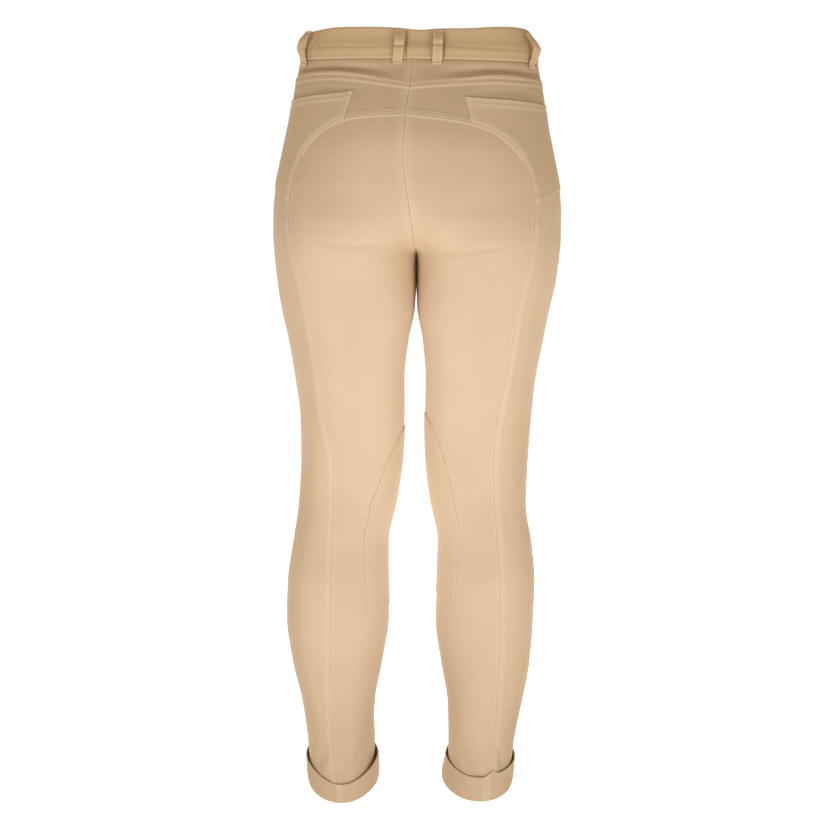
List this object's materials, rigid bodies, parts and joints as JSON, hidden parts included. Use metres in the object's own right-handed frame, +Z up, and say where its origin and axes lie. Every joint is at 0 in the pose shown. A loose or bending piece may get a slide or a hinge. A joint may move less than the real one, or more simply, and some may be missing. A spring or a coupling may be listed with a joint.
{
  "type": "jodhpurs",
  "caption": "Hollow full-length riding trousers with waistband and belt loops, patch back pockets, curved seat panels, inner knee patches and turned-up cuffs.",
  "frame": {"origin": "middle of the waist opening, at half the waistband's height", "axes": "+Z up, towards the waist; -Y the front and +Y the back of the garment; +X the wearer's left"},
  "size_m": [0.372, 0.2428, 0.9987],
  "materials": {
    "cloth": "beige stretch twill, matt, fine diagonal rib",
    "patch": "the same beige stretch twill, cut on the cross",
    "band": "beige stretch twill, doubled and pressed",
    "button": "dyed to match, satin"
  },
  "bodies": {
    "root": {"seat_left": "cloth", "seat_right": "cloth", "side_left": "cloth", "side_right": "cloth", "yoke_left": "cloth", "yoke_right": "cloth", "front_left": "cloth", "front_right": "cloth", "pocket_left": "cloth", "pocket_right": "cloth", "knee_patch_left": "patch", "knee_patch_right": "patch", "cuff_left": "cloth", "cuff_right": "cloth", "waistband": "band", "belt_loop_back_left": "band", "belt_loop_back_right": "band", "belt_loop_side_left": "band", "belt_loop_side_right": "band", "belt_loop_front_left": "band", "belt_loop_front_right": "band", "waist_button": "button"}
  },
  "joints": []
}
